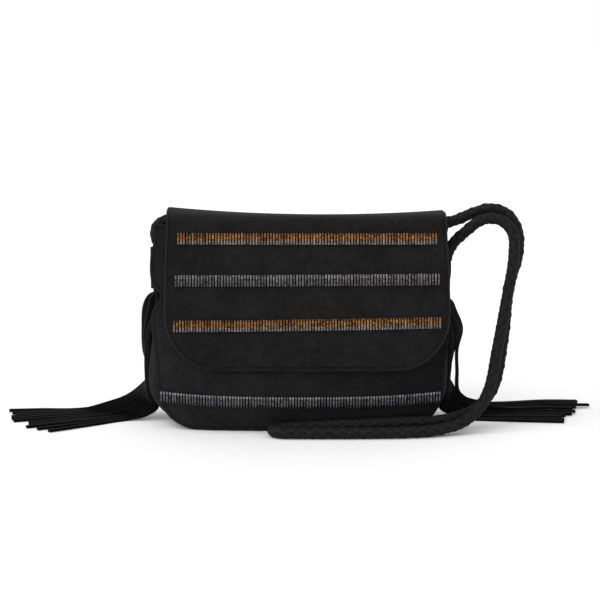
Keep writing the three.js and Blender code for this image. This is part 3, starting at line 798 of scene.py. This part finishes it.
# The directions to the right along the face and out of it
def faceDirections(onPanel, x, z):
    right = faceAt(onPanel, x + 0.5, z) - faceAt(onPanel, x - 0.5, z)
    up = faceAt(onPanel, x, z + 0.5) - faceAt(onPanel, x, z - 0.5)
    return right.normalized(), right.cross(up).normalized()


# Stitches: short thread ends lying just on the surface
stitch = {
    "length": 2.5,
    "thickness": 0.6,
    "pitch": 3.8,
    "inset": 2.9,
    "raise": 0.08,
    "tilt": 0.05,
    "flapTop": 160,
    "panelTop": 164,
    "dark": (0.006, 0.006, 0.0065),
    "light": (0.014, 0.0135, 0.014),
}


def makeThread():
    material, shader, coords = newMaterial("thread")
    twist = addNoise(coords, 2600, 2, 0.5)
    feed(shader.inputs, {
        "Base Color": addRamp(twist, [(0.3, stitch["dark"]), (0.7, stitch["light"])]),
        "Normal": addBump(twist, 0.0001, 0.5),
        "Roughness": 0.6,
        "Specular IOR Level": 0.2,
    })
    return material


# Points of a line a little inside an outline with round lower corners, from top left to top right
def insetOutline(halfAt, lower, top, corner):
    inset = stitch["inset"]
    side = []
    straightSteps, cornerSteps = 30, 12
    for k in range(straightSteps):
        z = top + (lower + corner - top) * k / straightSteps
        side.append((halfAt(z) - inset, z))
    for k in range(cornerSteps + 1):
        angle = pi / 2 * k / cornerSteps
        across = halfAt(lower + corner) - corner + (corner - inset) * cos(angle)
        side.append((across, lower + corner - (corner - inset) * sin(angle)))
    return [(-x, z) for x, z in side] + [(x, z) for x, z in reversed(side)]


def sewLine(name, onPanel, outline):
    line = [faceAt(onPanel, x, z) * mm for x, z in outline]
    placed = evenSteps(line, stitch["pitch"] * mm)[0]
    add = bpy.ops.mesh.primitive_uv_sphere_add
    model = addPrimitive(add, "stitch", segments=6, ring_count=5, radius=0.5)
    size = [mm * stitch[key] for key in ("length", "thickness", "thickness")]
    editAll(
        lambda: bpy.ops.transform.rotate(value=pi / 2, orient_axis="Y", center_override=(0, 0, 0)),
        lambda: bpy.ops.transform.resize(value=size),
    )
    shift = 0 if onPanel else flap["shift"]
    places = []
    for before, after in zip(placed, placed[1:]):
        middle = (before + after) / 2
        ahead = (after - before).normalized()
        normal = faceDirections(onPanel, middle.x / mm - shift, middle.z / mm)[1]
        side = normal.cross(ahead).normalized()
        tilt = random.uniform(-stitch["tilt"], stitch["tilt"])
        ahead = (ahead + side * tilt).normalized()
        places.append(frameAt(middle + normal * stitch["raise"] * mm, ahead, normal.cross(ahead), normal))
    piece = placeCopies(model, places, name)
    bpy.data.objects.remove(model)
    smoothShade(piece, 80)
    piece.data.materials.append(thread)
    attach(piece, "root")


def flapHalf(z):
    return flap["width"] / 2 * readForm(flapFront, "width", z / flap["top"])


def panelHalf(z):
    return panelHalfWidth(-1, max(z - body["lift"], body["corner"]))


thread = makeThread()
flapSeam = insetOutline(flapHalf, flap["lowerEdge"], stitch["flapTop"], flap["corner"])
sewLine("flapStitches", False, flapSeam)
panelSeam = insetOutline(panelHalf, body["lift"], stitch["panelTop"], body["corner"])
sewLine("panelStitches", True, panelSeam)
print("seams stitched")


# Beads: six rows of seed beads, sewn in upright columns
beads = {
    "across": 1.86,
    "high": 1.49,
    "sides": 10,
    "round": 0.32,
    "holeInset": 0.18,
    "holeDepth": 0.15,
    "pitch": 2.36,
    "stripe": 9,  # height of all rows
    "gap": 0.18,  # to the face below
    "columnSway": 0.06,  # spreads from bead to bead
    "sideSway": 0.035,
    "upSway": 0.04,
    "lean": 0.05,
    "sizeSpread": 0.03,
    "columnTone": 0.13,
    "beadTone": 0.24,
    "middleTone": 0.48,
}
beadRows = {  # from the top down
    "copper": ["amber"] + ["copper"] * 3 + ["silver"] * 2,
    "mixed": ["silver"] * 2 + ["steel"] * 2 + ["rose"] * 2,
    "grey": ["bright"] + ["steel"] * 4 + ["brown"],
}
stripes = [  # heights are shares of the front panel's, lengths of the width of what carries the stripe
    ("beadsTop", "bead_band_top", "beads_copper", False, 0.938, 0.91, 0, 0, beadRows["copper"]),
    ("beadsMiddle", "bead_band_middle", "beads_mixed", False, 0.743, 0.927, 0.14, 0, beadRows["mixed"]),
    ("beadsLower", "bead_band_lower", "beads_copper", False, 0.534, 0.936, 0.33, 0, beadRows["copper"]),
    ("beadsPanel", "bead_band_panel", "beads_grey", True, 0.156, 0.963, 0, 0.17, beadRows["grey"]),
]
beadColours = {  # darker and brighter beads of one batch
    "amber": ((0.028, 0.01, 0.002), (0.18, 0.08, 0.026)),
    "copper": ((0.05, 0.015, 0.0025), (0.29, 0.128, 0.038)),
    "silver": ((0.05, 0.049, 0.048), (0.19, 0.185, 0.18)),
    "steel": ((0.022, 0.025, 0.031), (0.105, 0.115, 0.135)),
    "rose": ((0.03, 0.021, 0.018), (0.125, 0.09, 0.078)),
    "bright": ((0.1, 0.1, 0.1), (0.3, 0.3, 0.3)),
    "brown": ((0.01, 0.008, 0.006), (0.055, 0.04, 0.031)),
}


# Glazed glass: a point attribute sets each bead's tone, and the brightest ones get a painted glint, a paler
# and greyer colour
def makeGlaze(name, dark, light):
    material, shader, coords = newMaterial(name)
    cloud = addNoise(coords, 1100, 2, 0.5)
    tone = blendValues(cloud, readAttribute(coords, "tone"), 0.35)
    # painted highlight: a paler, greyer colour for the brightest beads
    paintedGlint = tuple(0.75 * value + 0.45 * max(light) for value in light)
    feed(shader.inputs, {
        "Base Color": addRamp(tone, [(0.14, dark), (0.72, light), (0.92, paintedGlint)]),
        "Normal": addBump(cloud, 0.00005, 0.3),
        "Roughness": addScaled(cloud, 0.15, 0.2),
        "Metallic": 0.8,
        "Coat Weight": 0.08,
        "Coat Roughness": 0.12,
    })
    return material


def modelBead():
    bead = addPrimitive(
        bpy.ops.mesh.primitive_cylinder_add, "bead",
        vertices=beads["sides"], radius=beads["across"] / 2 * mm, depth=beads["high"] * mm)

    def choose(isChosen):
        bpy.ops.mesh.select_all(action="DESELECT")
        bpy.ops.object.mode_set(mode="OBJECT")
        for face in bead.data.polygons:
            face.select = isChosen(face)
        bpy.ops.object.mode_set(mode="EDIT")

    bpy.ops.object.mode_set(mode="EDIT")
    choose(lambda face: abs(face.normal.z) > 0.5)
    bpy.ops.mesh.select_mode(type="FACE")
    bpy.ops.mesh.region_to_loop()
    bpy.ops.mesh.bevel(offset=beads["round"] * mm, segments=2, affect="EDGES")
    choose(lambda face: len(face.vertices) == beads["sides"])
    bpy.ops.mesh.inset(thickness=beads["holeInset"] * mm, depth=-beads["holeDepth"] * mm)
    bpy.ops.object.mode_set(mode="OBJECT")
    bead.data.attributes.new("tone", "FLOAT", "POINT")
    return bead


def sewStripe(bead, glazes, name, node, slot, onPanel, height, length, rise, bow, rows):
    span = length * (body["width"] if onPanel else flap["width"])
    middle = height * frontHeight
    columns = round(span / beads["pitch"])
    places, colours, tones = [], [], []
    for c in range(columns):
        share = (c + 0.5) / columns - 0.5
        drift = rise * share + bow * 4 * share ** 2
        columnTone = random.gauss(0, beads["columnTone"])
        sway = random.gauss(0, beads["columnSway"])
        for r, colour in enumerate(rows):
            up = beads["stripe"] * ((len(rows) / 2 - r - 0.5) / len(rows) + drift)
            x = span * share + sway + random.gauss(0, beads["sideSway"])
            point = faceAt(onPanel, x, middle + up + random.gauss(0, beads["upSway"]))
            right, normal = faceDirections(onPanel, x, middle + up)
            axis = normal.cross(right) + right * random.gauss(0, beads["lean"])
            axis = (axis + normal * random.gauss(0, beads["lean"])).normalized()
            right = (right - axis * right.dot(axis)).normalized()
            size = 1 + random.gauss(0, beads["sizeSpread"])
            centre = (point + normal * (beads["across"] / 2 + beads["gap"])) * mm
            places.append(frameAt(centre, right, axis.cross(right), axis, (size, size, 1)))
            colours.append(glazes[colour])
            tones.append(clamp(beads["middleTone"] + columnTone + random.gauss(0, beads["beadTone"])))

    def dress(copy, k):
        copy.data.attributes["tone"].data.foreach_set("value", [tones[k]] * len(copy.data.vertices))
        copy.data.materials.append(colours[k])

    piece = placeCopies(bead, places, name, dress)
    smoothShade(piece, 80)
    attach(piece, "root")
    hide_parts(node)
    return len(places)


def makeBeads():
    glazes = {name: makeGlaze(name + "Bead", *pair) for name, pair in beadColours.items()}
    bead = modelBead()
    total = sum(sewStripe(bead, glazes, *stripe) for stripe in stripes)
    bpy.data.objects.remove(bead)
    print(total, "beads sewn")


makeBeads()


# Keepers: leather tabs wrapped round the strap's ends, sewn into the side folds
keeper = {
    "wall": 1.6,
    "height": {-1: 34, 1: 12.5},
    "foot": 113.5,
    "tongue": 12,
    "bore": 5.4,
    "out": 117.7,
    "back": 4,
    "inner": 109.8,
    "flatEnd": 0.8,
    "tabShare": 0.14,  # of the wrap at each end, where the tabs are sewn in
    "tabOver": 0.16,
    "cutRound": 0.4,
    "wave": 0.35,
    "grid": (56, 12),
}


def makeKeeper(side, name, node):
    out, back, wall, inner = [keeper[key] for key in ("out", "back", "wall", "inner")]
    outer = keeper["bore"] + wall
    close = asin(wall / outer)
    flatEnd = inner + keeper["flatEnd"]
    wrap = [(inner, back - wall), (flatEnd, back - wall)]
    steps = 24
    for k in range(steps + 1):
        angle = -pi + close + (2 * pi - 2 * close) * k / steps
        wrap.append((out + outer * cos(angle), back + outer * sin(angle)))
    wrap += [(flatEnd, back + wall), (inner, back + wall)]
    line = [Vector((x, y, 0)) for x, y in wrap]

    def place(across, along):
        point = onLine(line, (side * across + 1) / 2)
        loose = clamp((1 - keeper["tabShare"] - abs(across)) / keeper["tabOver"])
        high = keeper["tongue"] + (keeper["height"][side] - keeper["tongue"]) * easeBoth(loose)
        wave = keeper["wave"] * noise.noise(Vector((4 * across, side, 2.2)))
        return side * point.x, point.y, keeper["foot"] + (along + 1) / 2 * (high + wave)

    piece = layGrid(name, keeper["grid"], place)
    markCutEdge(piece)
    thicken(piece, wall * 0.97, keeper["cutRound"], even=False)
    piece.data.materials.append(suede)
    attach(piece, "root")
    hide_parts(node)


makeKeeper(-1, "keeperLeft", "strap_keeper_left")
makeKeeper(1, "keeperRight", "strap_keeper_right")
print("keepers wrapped")


# Fringes: flat laces from a bound head
fringe = {
    "head": {-1: (-117.7, 4, 121.6), 1: (117.7, 4, 117.6)},
    "headRadius": 4.6,
    "headRound": 0.6,
    "knot": 9,
    "headFan": 9,  # how wide the laces' lanes start inside the head
    "middleLane": 0.54,
    "drops": (0.5, 1.1, 1.7, 2.6),  # of a lace's first points under the head's top, in knots
    "levels": (0.47, 0.36, 0.25),  # of its next points, as shares of the front panel's height
    "laceWidth": 4.2,
    "widthSpread": 0.16,
    "laceThickness": 2,
    "cutRound": 0.35,
    "grid": (2, 84),
    "reach": 250,  # from the middle to the longest tip
    "depth": 40,
    "spread": {-1: 1.75, 1: 1.25},
    "sideStand": {-1: 0.72, 1: 1},
    "bellyStand": {-1: 0.0007, 1: 0.0034},
    "tuck": {-1: 0, 1: 0.056},
    "twist": 1.15,  # turn towards the front where the laces hang
    "looseStand": 4.5,
    "looseTwist": 0.25,  # of the twist, for laces that stand further off
    "sway": 1.1,
    "hangs": (0.6, 10.2),  # from and to, in spans of a lace's line
    # painted shade on a lace begins after this many spans
    "paleHangTo": 8.2,
    "changeOver": 1.6,
}
# What laceLine takes: the lane across the gusset, how many thicknesses a lace stands off it, its lane low
# down, how far out it comes down, and as shares of depth and reach where it turns and where its tip lies
leftLaces = [
    (0.34, 1.3, 0.6, 0, 0.03, -0.92, 0.83, 0), (0.4, 3.2, 0.66, 0.09, 0.12, -0.77, 0.87, 0),
    (0.42, 1.2, 0.7, 0.18, 0.2, -0.61, 0.91, 0.1), (0.47, 4.4, 0.74, 0.28, 0.28, -0.44, 0.905, 0),
    (0.5, 2.2, 0.78, 0.38, 0.36, -0.28, 0.91, 0.2), (0.54, 1.7, 0.8, 0.48, 0.44, -0.11, 0.965, 0.1),
    (0.56, 4.2, 0.84, 0.58, 0.52, 0.05, 0.975, 0.2), (0.6, 2.4, 0.88, 0.68, 0.6, 0.22, 0.98, 0.1),
    (0.64, 1, 0.92, 0.78, 0.68, 0.38, 0.97, 0.2), (0.68, 3, 0.95, 0.87, 0.75, 0.55, 0.985, 0.1),
    (0.72, 1.2, 0.98, 0.95, 0.82, 0.74, 1, 0.2),
]
rightLaces = [
    (0.36, 0.8, 0.62, 0, 0.05, -0.17, 0.885, 0), (0.42, 3.4, 0.86, 0.05, 0.14, 0, 0.89, 0),
    (0.44, 1, 0.84, 0.1, 0.22, 0.15, 0.885, 0.3), (0.49, 4.4, 0.82, 0.16, 0.32, 0.31, 0.9, 0.2),
    (0.52, 2.2, 0.87, 0.2, 0.43, 0.46, 0.925, 0.4), (0.56, 1, 0.9, 0.26, 0.54, 0.62, 0.94, 0.7),
    (0.58, 5.6, 0.6, 0.8, 0.65, 0.78, 0.935, 1.2), (0.63, 2.4, 0.92, 0.34, 0.76, 0.94, 0.95, 0.9),
    (0.66, 1, 0.94, 0.41, 0.88, 1.1, 1, 1.2), (0.7, 3, 0.96, 0.47, 1, 1.26, 0.96, 1.5),
    (0.74, 1.2, 0.98, 0.54, 1.12, 1.41, 0.965, 1.4),
]
nearFall = [(0.055, 0.52, 0.3), (0.012, 0.3, 0.55), (0.085, 0.13, 0.85), (0.2, 0, 1)]  # out, height, turned
farFall = [(0.125, 0.6), (0.231, 0.35), (0.365, 0.18), (0.558, 0)]


def blendTo(first, second, share):
    return first + (second - first) * share


# A place at a height beside the gusset, some lace thicknesses off it
def besideGusset(side, z, lane, off):
    corner, cornerShare = body["corner"], body["cornerShare"]
    if z < corner:
        level = cornerShare * acos(1 - z / corner) / (pi / 2)
    else:
        level = cornerShare + (1 - cornerShare) * (z - corner) / (frontHeight - corner)
    point = gussetAt(side, level, lane)
    point.x += side * (fringe["laceThickness"] * (0.5 + off) + body["seam"])
    return point


def laceLine(side, lane, stand, low, slack, turn, tipDepth, tipReach, pile):
    thick, knot, reach, depth = [fringe[key] for key in ("laceThickness", "knot", "reach", "depth")]
    head = Vector(fringe["head"][side])
    drops = [head.z - share * knot for share in fringe["drops"]]
    levels = [share * frontHeight for share in fringe["levels"]]
    lie = thick * (0.6 + 1.1 * pile)
    start = Vector((head.x, head.y + (lane - fringe["middleLane"]) * fringe["headFan"], drops[0]))
    flare = besideGusset(side, drops[3], lane, 0.45)
    bulge = abs(head.x) + (stand - 1) * thick * fringe["spread"][side]
    flare.x = side * max(abs(flare.x), bulge)
    flare.y = blendTo(start.y, flare.y, 0.6)
    below = Vector((start.x, start.y, drops[1]))
    between = start.lerp(flare, 0.68)
    between.z = drops[2]
    upper = besideGusset(side, levels[0], lane, fringe["sideStand"][side] * stand)
    middle = besideGusset(side, levels[1], (lane + low) / 2, 0.65 + 0.017 * stand ** 3)
    belly = besideGusset(side, levels[2], low, 0.4 + fringe["bellyStand"][side] * stand ** 4)
    tip = Vector((side * reach * tipReach, depth * tipDepth, blendTo(1.2, lie, 0.5)))
    fall = []
    for near, far in zip(nearFall, farFall):
        close = near[0] - fringe["tuck"][side] * (1 - near[2])
        out = blendTo(halfWidth, reach, blendTo(close, far[0], slack))
        height = depth * blendTo(near[1], far[1], slack)
        y = blendTo(belly.y, depth * turn, near[2])
        fall.append(Vector((side * out, y, max(height, lie))))
    rest = fall[-1].lerp(tip, 0.55)
    rest.z = lie
    return [start, below, between, flare, upper, middle, belly, *fall, rest, tip]


def makeLace(side, lace, name):
    lane, stand = lace[:2]
    line = laceLine(side, *lace)
    seed = 10 * lane + side
    spans = len(line) - 1
    width = fringe["laceWidth"] * (1 + fringe["widthSpread"] * noise.noise(Vector((3 * seed, 5.5, 0.3))))
    hangsFrom, hangsTo = fringe["hangs"]
    over = fringe["changeOver"]
    laceShades = []

    def place(across, along):
        share = (along + 1) / 2
        span = share * spans
        at = onLine(line, share)
        ahead = (onLine(line, min(share + 0.004, 1)) - onLine(line, max(share - 0.004, 0))).normalized()
        wide = Vector((0, -side, 0))
        wide = (wide - ahead * wide.dot(ahead)).normalized()
        hanging = easeBoth(clamp((hangsTo - span) / over) * clamp((span - hangsFrom) / over))
        loose = fringe["looseTwist"] if stand > fringe["looseStand"] else 1
        wave = noise.noise(Vector((seed, 3 * share, 0.4)))
        turn = -side * (fringe["twist"] * loose + 0.5 * wave) * hanging + 0.35 * wave * (1 - hanging)
        wide = Matrix.Rotation(turn, 3, ahead) @ wide
        thick = wide.cross(ahead).normalized()
        sway = fringe["sway"] * noise.noise(Vector((seed, 6 * share, 3.1))) * (1 - hanging)
        # Painted shade: 1 where the lace hangs, falling to 0 where it lies on the floor and near the head
        laceShades.append(hanging * clamp((fringe["paleHangTo"] - span) / over))
        return at + thick * fringe["laceThickness"] / 2 + wide * (across * width / 2 + sway)

    strip = layGrid(name, fringe["grid"], place)
    strip.data.attributes.new("napAndLaceShade", "FLOAT", "POINT").data.foreach_set("value", laceShades)
    strip.data.materials.append(laceSuede)
    strip.data.materials.append(laceEdge)
    thicken(strip, fringe["laceThickness"], fringe["cutRound"], smooth=0, rimMaterial=1)
    return strip


def makeFringe(side, laces, name, node):
    out, back, top = [mm * value for value in fringe["head"][side]]
    knot = fringe["knot"] * mm
    head = addPrimitive(
        bpy.ops.mesh.primitive_cylinder_add, "boundHead",
        vertices=18, radius=fringe["headRadius"] * mm, depth=knot, location=(out, back, top - knot / 2))
    editAll(lambda: bpy.ops.mesh.bevel(offset=fringe["headRound"] * mm, segments=3, affect="EDGES"))
    bpy.ops.object.transform_apply(location=True, rotation=True, scale=True)
    head.data.materials.append(laceSuede)
    smoothShade(head, 50)
    strips = [makeLace(side, lace, "lace") for lace in laces]
    piece = joinAll([head] + strips, name)
    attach(piece, "root")
    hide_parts(node)


# The laces get painted shade where they lie on the floor and near the head
laceSuede = makeSuede("laceSuede", lift=1.45, sheen=0.012, hasLaceShade=True)
laceEdge = makeSuede("laceEdge", lift=1.6, sheen=0.012, hasLaceShade=True)
makeFringe(-1, leftLaces, "fringeLeft", "fringe_left")
makeFringe(1, rightLaces, "fringeRight", "fringe_right")
print("fringes cut")


# Floor and soft light
studio = {
    "floor": 8,  # metres
    "floorCuts": 7,
    "paper": (0.84, 0.86),
    "skyStrength": 1.0,
    "sunFrom": (-1.0, -0.45, 1.0),
    "sunStrength": 1.5,
    "sunSoftness": 60,
}


def makeFloor():
    floor = addPrimitive(bpy.ops.mesh.primitive_plane_add, "floor", size=studio["floor"])
    editAll(lambda: bpy.ops.mesh.subdivide(number_cuts=studio["floorCuts"]))
    material, shader, coords = newMaterial("paper")
    fibre = addNoise(coords, 300, 3, 0.5)
    feed(shader.inputs, {
        "Base Color": addRamp(fibre, [(at, (grey,) * 3) for at, grey in zip((0.3, 0.7), studio["paper"])]),
        "Roughness": 0.95,
        "Specular IOR Level": 0.1,
    })
    floor.data.materials.append(material)


def lightStudio():
    aim = (-Vector(studio["sunFrom"])).to_track_quat("-Z", "Y").to_euler()
    add = bpy.ops.object.light_add
    sun = addPrimitive(add, "softSun", type="SUN", location=studio["sunFrom"], rotation=aim)
    setAll(sun.data, energy=studio["sunStrength"], angle=radians(studio["sunSoftness"]))
    world = bpy.data.worlds.new("studio")
    world.use_nodes = True
    feed(world.node_tree.nodes["Background"].inputs, {"Color": (1, 1, 1), "Strength": studio["skyStrength"]})
    scene.world = world
    scene.view_settings.view_transform = "Standard"


makeFloor()
lightStudio()
print("studio lit")
